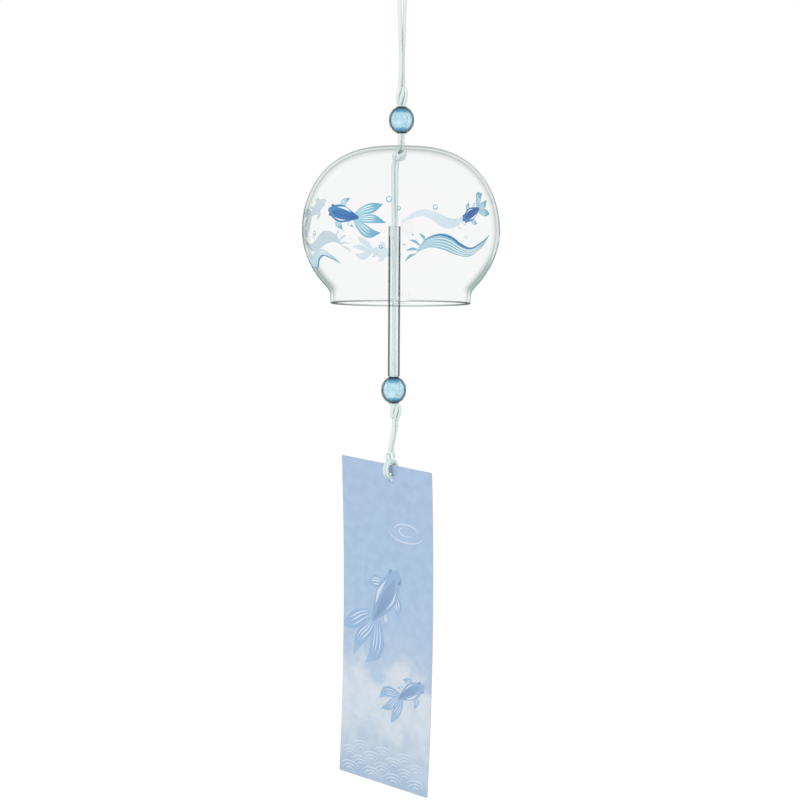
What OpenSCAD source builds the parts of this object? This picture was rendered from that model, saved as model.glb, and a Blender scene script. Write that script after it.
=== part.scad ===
// Furin: a small glass wind bell with a glass clapper tube, two beads and a paper strip,
// all threaded on one doubled nylon cord.
// Millimetres, +Z up, X to the right and Y away from the viewer. The origin is the
// inside top of the hanging loop, where the hook or nail bears.

/* [Bell] */
// Widest outside diameter of the glass
bell_d = 80; // [72:1:88]
// Height of the glass from crown to rim
bell_h = 64; // [60:1:70]
// Height from the widest place up to the crown
dome_h = 34.2; // [32:0.2:37]
// Outside diameter of the open mouth
mouth_d = 56.8; // [50:0.2:60]
// Thickness of the blown glass
glass_wall = 1.3; // [1:0.1:1.8]
// Hole through the crown for the doubled cord
crown_hole_d = 4.6; // [4:0.1:5.2]
// Squareness of the dome's shoulder
dome_power = 2.75; // [2.4:0.05:3.1]
// Half height of the oval that the belly follows below its widest place
belly_h = 34.5; // [32:0.5:38]
// Softness of the crease between belly and mouth
crease = 1.6; // [1:0.1:2.4]

/* [Cord] */
// Diameter of one strand
cord_d = 1.5; // [1.2:0.1:1.6]
// Distance from the hook down to the knot of the hanging loop
loop_drop = 53; // [50:1:60]

/* [Beads] */
// Diameter of a bead across its widest facets
bead_d = 10.6; // [9.6:0.2:12]
// Height of a bead between its two small flats
bead_h = 10.9; // [10:0.1:12]
// Hole through a bead
bead_bore_d = 3.6; // [3.4:0.1:3.8]
// Facets round a bead
bead_sides = 8; // [6:1:12]

/* [Knots] */
// Width of the knot that closes the hanging loop
loop_knot_d = 4.8; // [4.6:0.1:6]
// Height of the knot that closes the hanging loop
loop_knot_h = 7; // [6:0.5:9]
// Diameter of the round knot that carries the bell from inside
bell_knot_d = 5.9; // [5.6:0.1:6.4]
// Width of the knot under the lower bead
bead_knot_d = 4.6; // [4.5:0.1:5.6]
// Height of the knot under the lower bead
bead_knot_h = 6.2; // [5.6:0.2:8]
// Width of the knot above the paper strip
strip_knot_d = 4.6; // [4.5:0.1:5.6]
// Height of the knot above the paper strip
strip_knot_h = 5.4; // [5:0.2:7]

/* [Spacing along the cord] */
// Bare cord between the loop's knot and the upper bead
upper_gap = 0.6; // [0.3:0.1:2]
// Bare cord between the upper bead and the crown
neck_gap = 4.8; // [4:0.1:8]
// Bare cord between the bell's knot and the top of the clapper tube
clapper_drop = 26; // [22:1:30]
// Cord from the knot under the lower bead to the knot above the strip
tail_drop = 12.6; // [11:0.2:20]

/* [Clapper] */
// Outside diameter of the glass tube
tube_d = 5; // [4.6:0.1:6]
// Bore of the glass tube
tube_bore_d = 3.6; // [3.4:0.1:3.8]
// Length of the glass tube
tube_len = 61; // [52:1:70]
// How far to the left of the bell's axis the clapper hangs
clapper_shift = 2.6; // [0:0.2:3]
// How far the tail's lower end hangs to the left of its upper end
tail_shift = 1; // [0:0.2:3]

/* [Paper strip] */
// Width of the card
strip_w = 52; // [44:1:60]
// Length of the card
strip_l = 136; // [120:1:150]
// Thickness of the card
strip_t = 0.4; // [0.3:0.05:0.6]
// Punched hole near the top edge
strip_hole_d = 4; // [3.8:0.1:5]
// Radius of the cord's ring through the hole, at its centre line
ring_r = 3; // [2.8:0.1:3.6]
// How far the hole is punched off the middle of the card
hole_shift = 2.7; // [0:0.1:6]
// Rise of the card's lengthwise curl
curl = 1.8; // [1:0.2:4]
// Turn of the card away from the front view, in degrees
strip_yaw = 45; // [0:5:90]
// Lean of the card's lower end away from the viewer, in degrees
strip_lean = 3.5; // [0:0.5:5]
// Slant of the card in its own plane, in degrees
strip_slant = 4; // [0:0.5:5]

/* [Hidden] */

GLASS = "#E6EEF2";
ACRYLIC = "#A9D6E8";
NYLON = "#D6EBE8";
PAPER = "#A9C4DC";

seat_gap = 0.1;     // between flat faces that rest on each other and still turn
round_gap = 0.3;    // between round faces that move past each other
pair_x = 0.48 * cord_d;  // each strand's centre from the middle of the doubled cord
pair_reach = pair_x + cord_d / 2;
facets = 64;
bead_twist = 180 / bead_sides;

// Heights down the cord
loop_knot_top = -loop_drop;
loop_knot_z = loop_knot_top - loop_knot_h / 2;
neck_top = loop_knot_top - loop_knot_h;
top_bead_z = neck_top - upper_gap - bead_h / 2;
crown_z = top_bead_z - bead_h / 2 - neck_gap;
widest_z = crown_z - dome_h;
rim_z = crown_z - bell_h;
// The round knot seats against the crown hole's lower edge, one round_gap away
knot_seat_r = bell_knot_d / 2 + round_gap;
bell_knot_z = crown_z - glass_wall - sqrt(pow(knot_seat_r, 2) - pow(crown_hole_d / 2, 2));
tube_top = bell_knot_z - bell_knot_d / 2 - clapper_drop;
tube_bottom = tube_top - tube_len;
bottom_bead_z = tube_bottom - seat_gap - bead_h / 2;
bead_knot_top = bottom_bead_z - bead_h / 2 - seat_gap;
bead_knot_z = bead_knot_top - bead_knot_h / 2;
tail_pivot_z = bead_knot_top - bead_knot_h + bead_knot_d / 2;
strip_knot_top = bead_knot_top - bead_knot_h - tail_drop;
strip_knot_z = strip_knot_top - strip_knot_h / 2;
ring_z = strip_knot_top - strip_knot_h - ring_r + 0.1;
clapper_x = -clapper_shift;
strip_x = clapper_x - tail_shift;

// The ring clears the card's top edge by this much, and the hole is centred on it
edge_up = ring_r - cord_d / 2 - 0.15;

// Route of the hanging loop, up one strand, over the hook and down the other
LOOP_SIDE = [
    [0.8, 0.5, 0], [0.8, 0.5, 3], [0.7, 0.6, 7], [0.6, 0.7, 11], [0.6, 0.7, 15],
    [0.7, 0.6, 19], [0.8, 0.5, 23], [0.9, 0.4, 27], [1, 0.3, 31], [1.1, 0.2, 34.5],
    [1.4, 0.1, 39], [2, 0, 43], [2.7, 0, 46.5], [3.1, 0, 49], [3.2, 0, 50.5],
    [2.8, 0, 52.2], [1.6, 0, 53.3]
];
LOOP_TOP = [0, 0, 53.75];

function loop_route() = [
    for (p = LOOP_SIDE) [-p[0], -p[1], p[2]],
    LOOP_TOP,
    for (i = [len(LOOP_SIDE) - 1:-1:0]) LOOP_SIDE[i]
];

function unit(v) = v / norm(v);

function ring_points(route, i, radius, sides) =
    let (
        last = len(route) - 1,
        along = i == 0 || i == last ? [0, 0, i == 0 ? 1 : -1]
            : unit(route[i + 1] - route[i - 1]),
        across = unit(cross(along, [0, 1, 0])),
        third = cross(along, across)
    )
    [for (s = [0:sides - 1])
        let (a = 360 * (s + 0.5) / sides)
        route[i] + radius * (cos(a) * across + sin(a) * third)];

// A closed tube along a route
module tube_along(route, d, sides = 8) {
    rings = len(route);
    points = [for (i = [0:rings - 1]) each ring_points(route, i, d / 2, sides)];
    walls = [for (i = [0:rings - 2], s = [0:sides - 1])
        let (n = (s + 1) % sides)
        [i * sides + s, (i + 1) * sides + s, (i + 1) * sides + n, i * sides + n]];
    first = [for (s = [0:sides - 1]) s];
    last = [for (s = [sides - 1:-1:0]) (rings - 1) * sides + s];
    polyhedron(points, concat(walls, [first, last]), convexity = 6);
}

// Two strands lying side by side, standing on z = 0
module doubled_cord(length) {
    for (side = [-1, 1])
        translate([side * pair_x, 0, 0]) cylinder(d = cord_d, h = length, $fn = 32);
}

// A tight overhand knot: an oval barrel with the grooves between its three wraps.
// The flats are where the cord leaves it, as a share of the half width.
module knot(d, h, flat_share) {
    end = acos(flat_share);
    steps = 18;
    rotate_extrude($fn = facets) polygon([
        [0, -h / 2],
        for (i = [0:steps])
            let (
                a = -end + 2 * end * i / steps,
                groove = 1 - 0.07 * (1 - abs(cos(3 * a * 60 / end)))
            )
            [d / 2 * cos(a) * groove, h / 2 * sin(a) / sin(end)],
        [0, h / 2]
    ]);
}

function facet_ring(radius, z, turn) = [
    for (s = [0:bead_sides - 1])
        let (a = 360 * s / bead_sides + turn)
        [radius * cos(a), radius * sin(a), z]
];

// A bead with rows of three-cornered facets between two small flats
module faceted_bead() {
    r = bead_d / 2;
    half = bead_h / 2;
    flat_r = bead_bore_d / 2 + 0.35;
    n = bead_sides;
    points = concat(
        facet_ring(flat_r, half, 0),
        facet_ring(0.80 * r, 0.62 * half, bead_twist),
        facet_ring(r, 0, 0),
        facet_ring(0.80 * r, -0.62 * half, bead_twist),
        facet_ring(flat_r, -half, 0)
    );
    // Rows 1 and 3 are turned half a facet ahead of rows 0, 2 and 4
    bands = [for (row = [0:3], s = [0:n - 1])
        let (
            here = row * n,
            below = here + n,
            t = (s + 1) % n,
            ahead = row % 2 == 1
        )
        each ahead
            ? [[here + s, here + t, below + t], [here + s, below + t, below + s]]
            : [[here + s, here + t, below + s], [here + t, below + t, below + s]]];
    difference() {
        polyhedron(
            points,
            concat(
                [[for (s = [n - 1:-1:0]) s]],
                bands,
                [[for (s = [0:n - 1]) 4 * n + s]]
            ),
            convexity = 4
        );
        cylinder(d = bead_bore_d, h = 2 * bead_h, center = true, $fn = 48);
    }
}

// Outline of the blown glass: a squared oval above its widest place, an oval below it
// that runs into the straight mouth through a soft crease. inset gives the inner wall.
function dome_point(a, inset) = [
    (bell_d / 2 - inset) * pow(cos(a), 2 / dome_power),
    (dome_h - inset) * sin(a)
];

function dome_angle(r, inset) = acos(pow(r / (bell_d / 2 - inset), dome_power / 2));

function belly_r(drop, inset) =
    let (
        oval = (bell_d / 2 - inset)
            * sqrt(max(0, 1 - pow(drop / (belly_h - inset), 2))),
        mouth = mouth_d / 2 - inset
    )
    (oval + mouth + sqrt(pow(oval - mouth, 2) + pow(crease, 2))) / 2;

DOME_STEPS = 14;
BELLY_STEPS = 14;

function dome_side(inset) =
    let (end = dome_angle(crown_hole_d / 2, inset))
    [for (i = [0:DOME_STEPS]) dome_point(end * (1 - i / DOME_STEPS), inset)];

function belly_side(inset) =
    let (bottom = bell_h - dome_h - glass_wall / 2)
    [for (i = [1:BELLY_STEPS])
        let (drop = bottom * i / BELLY_STEPS)
        [belly_r(drop, inset), -drop]];

module bell_outline() {
    outer = concat(dome_side(0), belly_side(0));
    inner = concat(dome_side(glass_wall), belly_side(glass_wall));
    lip_outer = outer[len(outer) - 1];
    lip_inner = inner[len(inner) - 1];
    lip_mid = (lip_outer + lip_inner) / 2;
    lip_half = (lip_outer[0] - lip_inner[0]) / 2;
    polygon(concat(
        outer,
        [for (a = [30:30:150])
            lip_mid + [lip_half * cos(a), -glass_wall / 2 * sin(a)]],
        [for (i = [len(inner) - 1:-1:0]) inner[i]]
    ));
}

// Places on the cord
module at_clapper(z) {
    translate([clapper_x, 0, z]) children();
}

module at_ring() {
    translate([strip_x, 0, ring_z]) rotate([0, 0, -strip_yaw]) children();
}

// Parts
module hanging_loop() {
    color(NYLON)
        translate([0, 0, loop_knot_top])
            tube_along(loop_route(), cord_d);
}

module loop_knot() {
    color(NYLON)
        translate([0, 0, loop_knot_z]) knot(loop_knot_d, loop_knot_h, 0.72);
}

module neck_cord() {
    color(NYLON)
        difference() {
            translate([0, 0, bell_knot_z]) doubled_cord(neck_top - seat_gap - bell_knot_z);
            translate([0, 0, bell_knot_z]) sphere(r = knot_seat_r, $fn = facets);
        }
}

module top_bead() {
    color(ACRYLIC)
        translate([0, 0, top_bead_z]) faceted_bead();
}

module glass_bell() {
    color(GLASS)
        translate([0, 0, widest_z]) rotate_extrude($fn = 128) bell_outline();
}

module bell_knot() {
    color(NYLON)
        translate([0, 0, bell_knot_z]) knot(bell_knot_d, bell_knot_d, 0.25);
}

module clapper_cord() {
    color(NYLON)
        difference() {
            at_clapper(bead_knot_top) doubled_cord(bell_knot_z - bead_knot_top);
            translate([0, 0, bell_knot_z]) sphere(r = knot_seat_r, $fn = facets);
        }
}

module clapper_tube() {
    color(GLASS)
        at_clapper(tube_bottom)
            difference() {
                cylinder(d = tube_d, h = tube_len, $fn = 64);
                translate([0, 0, -1]) cylinder(d = tube_bore_d, h = tube_len + 2, $fn = 64);
            }
}

module bottom_bead() {
    color(ACRYLIC)
        at_clapper(bottom_bead_z) faceted_bead();
}

module bead_knot() {
    color(NYLON)
        at_clapper(bead_knot_z) knot(bead_knot_d, bead_knot_h, 0.45);
}

module tail_cord() {
    reach = tail_pivot_z - strip_knot_top;
    color(NYLON)
        difference() {
            at_clapper(tail_pivot_z)
                rotate([0, atan(tail_shift / reach), 0])
                    translate([0, 0, -reach - cord_d]) doubled_cord(reach + cord_d);
            at_clapper(tail_pivot_z)
                sphere(r = bead_knot_d / 2 + round_gap, $fn = facets);
            translate([strip_x, 0, strip_knot_top + seat_gap - 2 * cord_d])
                cylinder(r = 3 * pair_reach, h = 2 * cord_d, $fn = 32);
        }
}

module strip_knot() {
    color(NYLON) {
        translate([strip_x, 0, strip_knot_z]) knot(strip_knot_d, strip_knot_h, 0.66);
        at_ring()
            for (side = [-1, 1])
                translate([side * pair_x, 0, 0])
                    rotate([0, 90, 0])
                        rotate_extrude($fn = 48) translate([ring_r, 0]) circle(d = cord_d, $fn = 24);
    }
}

module paper_strip() {
    // The card is a piece of a wide tube lying across, so it curls along its length
    curl_r = pow(strip_l, 2) / (8 * curl) + curl / 2;
    middle = edge_up - strip_l / 2;
    color(PAPER)
        at_ring() rotate([strip_lean, 0, 0]) rotate([0, strip_slant, 0])
            difference() {
                translate([-hole_shift, curl - curl_r, middle]) rotate([0, 90, 0])
                    intersection() {
                        difference() {
                            cylinder(r = curl_r + strip_t / 2, h = strip_w, center = true, $fn = 360);
                            cylinder(r = curl_r - strip_t / 2, h = strip_w + 2, center = true, $fn = 360);
                        }
                        translate([-strip_l / 2, curl_r / 2, -strip_w])
                            cube([strip_l, curl_r, 2 * strip_w]);
                    }
                translate([0, 0, -ring_r]) rotate([90, 0, 0])
                    cylinder(d = strip_hole_d, h = 20, center = true, $fn = 48);
            }
}

hanging_loop();
loop_knot();
neck_cord();
top_bead();
glass_bell();
bell_knot();
clapper_cord();
clapper_tube();
bottom_bead();
bead_knot();
tail_cord();
strip_knot();
paper_strip();
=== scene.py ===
from math import acos, asin, ceil, cos, pi, radians, sin, sqrt

import bpy
from mathutils import Matrix, Vector


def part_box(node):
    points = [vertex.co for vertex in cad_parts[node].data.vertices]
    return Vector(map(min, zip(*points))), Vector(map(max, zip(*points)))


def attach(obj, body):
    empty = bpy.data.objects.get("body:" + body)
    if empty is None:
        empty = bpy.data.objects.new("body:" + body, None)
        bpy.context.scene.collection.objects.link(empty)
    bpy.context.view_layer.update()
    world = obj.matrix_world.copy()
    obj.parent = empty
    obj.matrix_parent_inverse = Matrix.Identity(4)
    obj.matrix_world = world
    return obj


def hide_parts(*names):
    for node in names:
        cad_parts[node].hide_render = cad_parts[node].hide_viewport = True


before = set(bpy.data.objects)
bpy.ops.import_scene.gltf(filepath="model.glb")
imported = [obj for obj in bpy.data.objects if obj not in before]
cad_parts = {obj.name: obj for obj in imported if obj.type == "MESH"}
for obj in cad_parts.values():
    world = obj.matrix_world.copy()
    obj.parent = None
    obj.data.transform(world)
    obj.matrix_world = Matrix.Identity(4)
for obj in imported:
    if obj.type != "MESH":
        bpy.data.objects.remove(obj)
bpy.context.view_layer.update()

# ---- sizes, in metres
MM = 0.001

BELL_LOW, BELL_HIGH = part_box("glass_bell")
CROWN_Z = BELL_HIGH.z
RIM_Z = BELL_LOW.z
BELL_R = BELL_HIGH.x
DOME_H = 34.2 * MM         # from the widest ring up to the crown
WIDEST_Z = CROWN_Z - DOME_H
MOUTH_R = 28.4 * MM
GLASS_WALL = 1.3 * MM
CROWN_HOLE_R = 2.3 * MM
DOME_POWER = 2.75          # 2 would make the dome an oval, and more squares its shoulders
BELLY_H = 34.5 * MM        # half height of the oval under the widest ring
CREASE = 1.6 * MM          # how softly the belly turns into the collar
INK_T = 0.02 * MM          # thickness of a coat of enamel or ink
INK_BASE = 0.01 * MM       # gap under it
INK_STEP = 0.0004 * MM     # rise of each brush shape over the one before

STRAND_R = 0.75 * MM
PAIR_X = 0.72 * MM         # each strand's centre from the middle of the doubled cord

LOOP_KNOT_LOW, LOOP_KNOT_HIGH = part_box("loop_knot")
BELL_KNOT_LOW, BELL_KNOT_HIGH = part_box("bell_knot")
BEAD_KNOT_LOW, BEAD_KNOT_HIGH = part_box("bead_knot")
TOP_BEAD_LOW, TOP_BEAD_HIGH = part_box("top_bead")
BOTTOM_BEAD_LOW, BOTTOM_BEAD_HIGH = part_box("bottom_bead")
TUBE_LOW, TUBE_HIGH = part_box("clapper_tube")
BELL_KNOT_Z = (BELL_KNOT_LOW.z + BELL_KNOT_HIGH.z) / 2
CLAPPER_X = (TUBE_LOW.x + TUBE_HIGH.x) / 2
TUBE_R = (TUBE_HIGH.x - TUBE_LOW.x) / 2
TUBE_BORE_R = 1.8 * MM
TUBE_END_R = 0.25 * MM     # the fire-polished ends' rounding
BEAD_BORE_R = 1.8 * MM
FACET_BEVEL = 0.06 * MM
BEAD_KNOT_SLIP = Vector((0.8 * MM, 0, 0))     # it has slipped to the right of its bead

STRIP_W = 52 * MM
STRIP_L = 136 * MM
STRIP_T = 0.4 * MM
STRIP_HOLE_R = 1.6 * MM
HOLE_Z = -3.0 * MM         # the hole's centre below the middle of the ring
HOLE_SHIFT = 2.7 * MM      # the hole's centre from the card's middle line
CURL = 1.8 * MM            # how far the card bulges over its length
EDGE_UP = 2.1 * MM         # the card's top edge above the middle of the ring
STRIP_X = CLAPPER_X - 1 * MM
RING_Z = -208.046 * MM     # the middle of the ring of cord, where the card flaps
STRIP_KNOT_TOP = RING_Z + 7.1 * MM
STRIP_KNOT_LOW = RING_Z + 2.9 * MM
STRIP_KNOT_R = 2.3 * MM
STRIP_YAW = radians(-45)
CARD_LEAN = radians(3.5)
CARD_SLANT = radians(4)
STRIP_FRAME = Matrix.Translation((STRIP_X, 0, RING_Z)) @ Matrix.Rotation(STRIP_YAW, 4, "Z")
CARD_FRAME = (
    STRIP_FRAME @ Matrix.Rotation(CARD_LEAN, 4, "X") @ Matrix.Rotation(CARD_SLANT, 4, "Y")
)

# Camera of the photograph, an 800 px square, and the floor far below
PHOTO_PX = 800
FOCAL_PX = 2572.5
SENSOR_MM = 36
CAMERA_AT = (0, -1044.65 * MM, -100.73 * MM)
CAMERA_DOWN = radians(4.31)
CAMERA_ROLL = radians(0.32)
FLOOR_Z = -0.62
FLOOR_SIDE = 14


# ---- small tools
def linear(code):
    """An sRGB hex colour as linear RGBA."""
    parts = [int(code[i:i + 2], 16) / 255 for i in (1, 3, 5)]
    return [c / 12.92 if c <= 0.04045 else ((c + 0.055) / 1.055) ** 2.4 for c in parts] + [1]


def deselect():
    bpy.ops.object.select_all(action="DESELECT")


def newest(name):
    piece = bpy.context.object
    piece.name = name
    piece.data.name = name
    return piece


def only(piece):
    deselect()
    piece.select_set(True)
    bpy.context.view_layer.objects.active = piece


def edit(piece):
    """Edit mode with everything selected."""
    only(piece)
    bpy.ops.object.mode_set(mode="EDIT")
    bpy.ops.mesh.select_all(action="SELECT")


def done():
    bpy.ops.object.mode_set(mode="OBJECT")


def close_up(piece, gap=0.0005 * MM):
    """Merges doubles and points every face outwards."""
    edit(piece)
    bpy.ops.mesh.remove_doubles(threshold=gap)
    bpy.ops.mesh.normals_make_consistent(inside=False)
    done()


def smooth(piece, angle):
    only(piece)
    bpy.ops.object.shade_smooth_by_angle(angle=radians(angle))


def apply(piece, kind, **settings):
    """Adds a modifier and applies it."""
    only(piece)
    modifier = piece.modifiers.new(kind.title(), kind)
    for key, value in settings.items():
        setattr(modifier, key, value)
    bpy.ops.object.modifier_apply(modifier=modifier.name)


def joined(pieces, name):
    deselect()
    for piece in pieces:
        piece.select_set(True)
    bpy.context.view_layer.objects.active = pieces[0]
    if len(pieces) > 1:
        bpy.ops.object.join()
    return newest(name)


def dress(piece, material, body, slot, *nodes):
    """Gives a finished piece its material and its body, and hides the nodes it stands for. slot is
    not used.
    """
    if material:
        piece.data.materials.clear()
        piece.data.materials.append(material)
    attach(piece, body)
    if nodes:
        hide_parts(*nodes)


# ---- routes and surfaces
def between(a, b, c, d, t):
    """A smooth value between b and c, with a before them and d after."""
    return 0.5 * (2 * b + (c - a) * t + (2 * a - 5 * b + 4 * c - d) * t * t
                  + (3 * b - a - 3 * c + d) * t * t * t)


def rounded(points, step, cuts=24):
    """An evenly spaced smooth curve through the points."""
    knots = [Vector(p) for p in points]
    knots = [2 * knots[0] - knots[1]] + knots + [2 * knots[-1] - knots[-2]]
    fine = []
    for i in range(1, len(knots) - 2):
        a, b, c, d = knots[i - 1:i + 3]
        fine += [between(a, b, c, d, k / cuts) for k in range(cuts)]
    fine.append(knots[-2])
    return evenly(fine, step)


def evenly(fine, step):
    """The same line with points a step apart."""
    along = [0]
    for a, b in zip(fine, fine[1:]):
        along.append(along[-1] + (b - a).length)
    count = max(2, ceil(along[-1] / step))
    line, i = [], 0
    for k in range(count + 1):
        want = along[-1] * k / count
        while i < len(fine) - 2 and along[i + 1] < want:
            i += 1
        part = (want - along[i]) / max(1e-12, along[i + 1] - along[i])
        line.append(fine[i].lerp(fine[i + 1], min(1, max(0, part))))
    return line


def length_of(line):
    return sum((b - a).length for a, b in zip(line, line[1:]))


def stations(line):
    """A middle and two cross directions for each point, carried along without twist."""
    found, side = [], None
    for i, point in enumerate(line):
        ahead = (line[min(i + 1, len(line) - 1)] - line[max(i - 1, 0)]).normalized()
        if side is None:
            side = ahead.cross(Vector((0, 1, 0.2))).normalized()
        side = (side - ahead * side.dot(ahead)).normalized()
        found.append((point, side, ahead.cross(side), ahead))
    return found


def grid(name, columns, rows, place, u_mm=1, v_mm=1):
    """A flat grid bent to place(u, v); its UV map counts millimetres."""
    deselect()
    bpy.ops.mesh.primitive_grid_add(x_subdivisions=columns, y_subdivisions=rows, size=1)
    piece = newest(name)
    for vertex in piece.data.vertices:
        vertex.co = place(vertex.co.x + 0.5, vertex.co.y + 0.5)
    for corner in piece.data.uv_layers.active.data:
        corner.uv = (corner.uv[0] * u_mm, corner.uv[1] * v_mm)
    return piece


def strand(name, points, step, smooth_route=True, sides=16):
    """A length of cord along a route, with rounded ends."""
    line = rounded(points, step) if smooth_route else evenly([Vector(p) for p in points], step)
    rings = [(middle, side, up, 1.0) for middle, side, up, ahead in stations(line)]
    for end, sign in ((0, -1), (-1, 1)):
        middle, side, up, ahead = stations(line)[end]
        dome = [
            (middle + ahead * sign * STRAND_R * 0.6 * sin(radians(a)), side, up, cos(radians(a)))
            for a in (25, 50, 72, 90)
        ]
        rings = dome[::-1] + rings if end == 0 else rings + dome
    last = len(rings) - 1

    def place(u, v):
        middle, side, up, share = rings[round(u * last)]
        turn = 2 * pi * v
        return middle + (side * cos(turn) + up * sin(turn)) * STRAND_R * share

    girth = 2 * pi * STRAND_R / MM
    piece = grid(name, last, sides, place, length_of(line) / MM, girth)
    close_up(piece)
    smooth(piece, 60)
    return piece


def turned(name, outline, steps, middle_x=0.0):
    """A closed outline of (radius, height) points spun round an upright axis."""
    deselect()
    bpy.ops.mesh.primitive_circle_add(vertices=len(outline), radius=1)
    piece = newest(name)
    for vertex, (radius, height) in zip(piece.data.vertices, outline):
        vertex.co = (middle_x + radius, 0, height)
    edit(piece)
    bpy.ops.mesh.spin(
        steps=steps, angle=2 * pi, center=(middle_x, 0, 0), axis=(0, 0, 1), dupli=False
    )
    done()
    close_up(piece)
    return piece


# ---- materials
# Settings that several nodes share
MULTIPLY = {"data_type": "RGBA", "blend_type": "MULTIPLY", 0: 1.0}
ONE_LESS = {"operation": "SUBTRACT", 0: 1.0}
LARGER = {"operation": "MAXIMUM"}
TO_WORLD = {"vector_type": "NORMAL", "convert_from": "OBJECT", "convert_to": "WORLD"}


def node(tree, kind, settings=None, links=None):
    """Adds a shader node. settings name its properties or sockets. links name its inputs, each
    fed by a socket, or by a node, which stands for its first output."""
    made = tree.nodes.new("ShaderNode" + kind)
    for key, value in (settings or {}).items():
        if isinstance(key, str) and hasattr(made, key):
            setattr(made, key, value)
        else:
            made.inputs[key].default_value = value
    for key, source in (links or {}).items():
        tree.links.new(getattr(source, "outputs", [source])[0], made.inputs[key])
    return made


def ramp(tree, source, stops):
    """A colour ramp with the given (position, hex colour) stops."""
    made = node(tree, "ValToRGB", links={0: source})
    made.color_ramp.interpolation = "EASE"
    elements = made.color_ramp.elements
    while len(elements) < len(stops):
        elements.new(0.5)
    for element, (position, code) in zip(elements, stops):
        element.position = position
        element.color = linear(code)
    return made


def new_material(name):
    """An empty material and its output's surface socket."""
    material = bpy.data.materials.new(name)
    material.use_nodes = True
    material.node_tree.nodes.clear()
    out = node(material.node_tree, "OutputMaterial")
    return material, material.node_tree, out.inputs["Surface"]


def see_through_shadow(tree, out, body, clear, in_mirror=False):
    """Lets lamps and bounced light straight through glass, so that it casts no black shadow.
    With in_mirror its image in other glass is clear too."""
    path = node(tree, "LightPath")
    either = node(
        tree, "Math", LARGER,
        {0: path.outputs["Is Shadow Ray"], 1: path.outputs["Is Diffuse Ray"]},
    )
    if in_mirror:
        mirrored = node(
            tree, "Math", {"operation": "SUBTRACT", "use_clamp": True},
            {0: path.outputs["Is Glossy Ray"], 1: path.outputs["Is Transmission Ray"]},
        )
        either = node(tree, "Math", LARGER, {0: either, 1: mirrored})
    open_air = node(tree, "BsdfTransparent", {"Color": linear(clear)})
    mix = node(tree, "MixShader", links={0: either, 1: body, 2: open_air})
    tree.links.new(mix.outputs[0], out)


def shaded_outline(tree, tint, facing, zone, stops):
    """Dims tint near the outline with painted light and shade, between the two facing shares of
    zone, by a colour that changes with height: stops of (millimetres above the widest ring,
    colour)."""
    low, high = stops[0][0], stops[-1][0]
    place = node(tree, "TexCoord")
    height = node(tree, "SeparateXYZ", links={0: place.outputs["Object"]})
    level = node(
        tree, "MapRange", {1: WIDEST_Z + low * MM, 2: WIDEST_Z + high * MM},
        {0: height.outputs["Z"]},
    )
    shade = ramp(tree, level, [((mm - low) / (high - low), code) for mm, code in stops])
    near = node(tree, "MapRange", {1: zone[0], 2: zone[1]}, {0: facing})
    return node(tree, "Mix", MULTIPLY, {0: near, 6: tint, 7: shade}).outputs[2]


def level_facing(tree, facing):
    """The facing share of an upright tube's wall as if it were looked at level, so that the
    lines along its sides stay as thin from above."""
    upright = node(tree, "VectorTransform", {**TO_WORLD, 0: (0, 0, 1)})
    along = node(tree, "LayerWeight", {"Blend": 0.5}, {"Normal": upright})
    steep = node(tree, "Math", ONE_LESS, {1: along.outputs["Facing"]})
    squared = node(tree, "Math", {"operation": "POWER", 1: 2.0}, {0: steep})
    rest = node(tree, "Math", ONE_LESS, {1: squared})
    shortened = node(tree, "Math", {"operation": "SQRT"}, {0: rest})
    head_on = node(tree, "Math", ONE_LESS, {1: facing})
    level = node(
        tree, "Math", {"operation": "DIVIDE", "use_clamp": True}, {0: head_on, 1: shortened}
    )
    return node(tree, "Math", ONE_LESS, {1: level})


def glass(name, edge_tints, ior, clear, aslant, outlines=(), upright=False):
    """Clear fire-polished glass. Where the wall is seen aslant, between the two facing shares
    given, it turns into a thin pane that neither mirrors nor bends, and edge_tints alone dim what
    is behind it: painted shade along the outline, over the glass's own faint tint. outlines holds
    the zones and stops of painted light and shade that dim its outline by height, and upright says
    that it is a tube."""
    material, tree, out = new_material(name)
    aside = node(tree, "LayerWeight", {"Blend": 0.5}).outputs["Facing"]
    tint = ramp(tree, level_facing(tree, aside) if upright else aside, edge_tints)
    for zone, stops in outlines:
        tint = shaded_outline(tree, tint, aside, zone, stops)
    clear_body = node(
        tree, "BsdfPrincipled",
        {"Transmission Weight": 1.0, "Roughness": 0.0, "IOR": ior},
        {"Base Color": tint},
    )
    pane = node(tree, "BsdfRefraction", {"Roughness": 0.0, "IOR": 1.0}, {"Color": tint})
    share = node(tree, "MapRange", {1: aslant[0], 2: aslant[1]}, {0: aside})
    body = node(tree, "MixShader", links={0: share, 1: clear_body, 2: pane})
    see_through_shadow(tree, out, body, clear)
    return material


SODA_LIME_IOR = 1.51
BOROSILICATE_IOR = 1.47
# Facing shares between which each glass turns from a bending wall into a thin pane
BELL_ASLANT = (0.003, 0.012)
TUBE_ASLANT = (0.06, 0.18)
# Blown soda-lime glass: nearly colourless face on, and along the outline, where its 1.3 mm wall is
# seen edge on, a pale grey band with a fine darker line on either side, one for each of its two
# surfaces. The band is partly the glass's own faint tint and mostly painted shade for the dark
# surroundings such a wall mirrors and bends; the fine lines are painted shade.
SODA_LIME_OUTER = [
    (0.0, "#FAFAFA"), (0.003, "#FAFAFA"), (0.012, "#FDFDFD"), (0.6, "#FDFDFD"),
    (0.72, "#F6F7F7"), (0.77, "#EFF1F0"), (0.84, "#ECEFEE"), (0.9, "#DEE3E1"), (1.0, "#C6CECB"),
]
SODA_LIME_INNER = [
    (0.0, "#FAFAFA"), (0.003, "#FAFAFA"), (0.012, "#FDFDFD"), (0.65, "#FCFDFD"),
    (0.8, "#F6F7F7"), (0.9, "#EAEDEC"), (1.0, "#D8DDDB"),
]
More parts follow.
